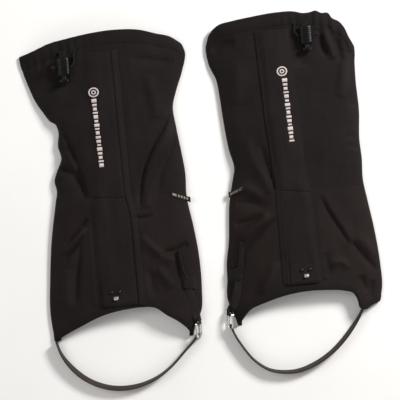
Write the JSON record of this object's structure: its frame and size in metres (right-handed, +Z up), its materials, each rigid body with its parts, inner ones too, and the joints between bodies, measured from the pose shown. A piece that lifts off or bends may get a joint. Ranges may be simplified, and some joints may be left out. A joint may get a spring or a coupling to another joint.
{
  "type": "gaiters",
  "caption": "Pair of front-opening hiking gaiters laid flat, with closure flap, lace hook, cord lock, instep strap and tongue buckle.",
  "frame": {"origin": "on the surface that the pair lies on, under the middle of its bounding box", "axes": "+Z up, away from the surface; +Y towards the knee ends; +X towards the right-leg gaiter"},
  "size_m": [0.5109, 0.5311, 0.0354],
  "materials": {
    "upper_fabric": "light matt weave",
    "lower_fabric": "heavy plain weave",
    "flap_fabric": "light matt weave",
    "hem_fabric": "folded matt weave",
    "elastic": "ribbed elastic",
    "closure_tape": "hook and loop pile",
    "binding_tape": "ribbed tape",
    "webbing": "ribbed webbing",
    "label_weave": "woven tab",
    "cord_braid": "braided",
    "strap_rubber": "satin, fine grain",
    "lock_plastic": "moulded",
    "spring_steel": "plain",
    "hook_metal": "satin",
    "rivet_metal": "dark, worn",
    "buckle_metal": "polished"
  },
  "bodies": {
    "left_shell": {"left_rear_upper_panel": "upper_fabric", "left_rear_lower_panel": "lower_fabric", "left_outer_upper_panel": "upper_fabric", "left_outer_lower_panel": "lower_fabric", "left_inner_upper_panel": "upper_fabric", "left_inner_lower_panel": "lower_fabric", "left_top_hem": "hem_fabric", "left_lower_hem": "hem_fabric", "left_ankle_elastic": "elastic", "left_loop_tape": "closure_tape", "left_flap_seam_tape": "binding_tape", "left_cord_lock_barrel": "lock_plastic", "left_cord_lock_spring": "spring_steel", "left_cord_lock_tab": "webbing", "left_drawcord": "cord_braid", "left_strap_anchor": "strap_rubber", "left_strap_tail": "strap_rubber", "left_keeper_band": "webbing", "left_buckle_tab": "webbing", "left_side_label": "label_weave"},
    "left_flap": {"left_front_flap": "flap_fabric", "left_hook_tape": "closure_tape", "left_flap_binding": "binding_tape", "left_flap_patch": "lower_fabric", "left_lace_hook": "hook_metal", "left_hook_rivets": "rivet_metal"},
    "left_plunger": {"left_cord_lock_plunger": "lock_plastic"},
    "left_strap": {"left_instep_strap": "strap_rubber"},
    "left_buckle": {"left_buckle_frame": "buckle_metal"},
    "left_tongue": {"left_buckle_tongue": "buckle_metal"},
    "right_shell": {"right_rear_upper_panel": "upper_fabric", "right_rear_lower_panel": "lower_fabric", "right_outer_upper_panel": "upper_fabric", "right_outer_lower_panel": "lower_fabric", "right_inner_upper_panel": "upper_fabric", "right_inner_lower_panel": "lower_fabric", "right_top_hem": "hem_fabric", "right_lower_hem": "hem_fabric", "right_ankle_elastic": "elastic", "right_loop_tape": "closure_tape", "right_flap_seam_tape": "binding_tape", "right_cord_lock_barrel": "lock_plastic", "right_cord_lock_spring": "spring_steel", "right_cord_lock_tab": "webbing", "right_drawcord": "cord_braid", "right_strap_anchor": "strap_rubber", "right_strap_tail": "strap_rubber", "right_keeper_band": "webbing", "right_buckle_tab": "webbing", "right_side_label": "label_weave"},
    "right_flap": {"right_front_flap": "flap_fabric", "right_hook_tape": "closure_tape", "right_flap_binding": "binding_tape", "right_flap_patch": "lower_fabric", "right_lace_hook": "hook_metal", "right_hook_rivets": "rivet_metal"},
    "right_plunger": {"right_cord_lock_plunger": "lock_plastic"},
    "right_strap": {"right_instep_strap": "strap_rubber"},
    "right_buckle": {"right_buckle_frame": "buckle_metal"},
    "right_tongue": {"right_buckle_tongue": "buckle_metal"}
  },
  "joints": [
    {"name": "left_flap_hinge", "type": "hinge", "parent": "left_shell", "child": "left_flap", "pos_m": [-0.15899, 0.0248, 0.02335], "axis": [0.0872, -0.9962, 0], "range_deg": [0, 85]},
    {"name": "left_plunger_push", "type": "slide", "parent": "left_shell", "child": "left_plunger", "axis": [-0.0872, 0.9962, 0], "range_m": [0, 0.004], "stiffness_N_per_m": 500, "springref_m": -0.006, "deforming": ["left_cord_lock_spring"]},
    {"name": "left_strap_swing", "type": "hinge", "parent": "left_shell", "child": "left_strap", "pos_m": [-0.10236, -0.20363, 0.006], "axis": [-0.9952, -0.0974, 0], "range_deg": [0, 100]},
    {"name": "left_buckle_swing", "type": "hinge", "parent": "left_shell", "child": "left_buckle", "pos_m": [-0.00221, -0.17238, 0.00873], "axis": [-0.421, -0.0368, 0.9063], "range_deg": [0, 30]},
    {"name": "left_tongue_swing", "type": "hinge", "parent": "left_buckle", "child": "left_tongue", "pos_m": [-0.00221, -0.17238, 0.00873], "axis": [-0.421, -0.0368, 0.9063], "range_deg": [0, 60]},
    {"name": "right_flap_hinge", "type": "hinge", "parent": "right_shell", "child": "right_flap", "pos_m": [0.1514, 0.06039, 0.02573], "axis": [-0.1238, 0.9923, 0.0014], "range_deg": [0, 85]},
    {"name": "right_plunger_push", "type": "slide", "parent": "right_shell", "child": "right_plunger", "axis": [-0.0872, 0.9962, 0], "range_m": [0, 0.004], "stiffness_N_per_m": 500, "springref_m": -0.006, "deforming": ["right_cord_lock_spring"]},
    {"name": "right_strap_swing", "type": "hinge", "parent": "right_shell", "child": "right_strap", "pos_m": [0.13595, -0.17034, 0.006], "axis": [-0.9897, -0.1429, 0], "range_deg": [0, 100]},
    {"name": "right_buckle_swing", "type": "hinge", "parent": "right_shell", "child": "right_buckle", "pos_m": [0.0417, -0.16011, 0.00873], "axis": [-0.421, -0.0368, -0.9063], "range_deg": [0, 30]},
    {"name": "right_tongue_swing", "type": "hinge", "parent": "right_buckle", "child": "right_tongue", "pos_m": [0.0417, -0.16011, 0.00873], "axis": [-0.421, -0.0368, -0.9063], "range_deg": [0, 60]},
    {"name": "right_gaiter_lift", "type": "slide", "parent": "left_shell", "child": "right_shell", "axis": [0, 0, 1], "range_m": [0, 0.1]}
  ]
}
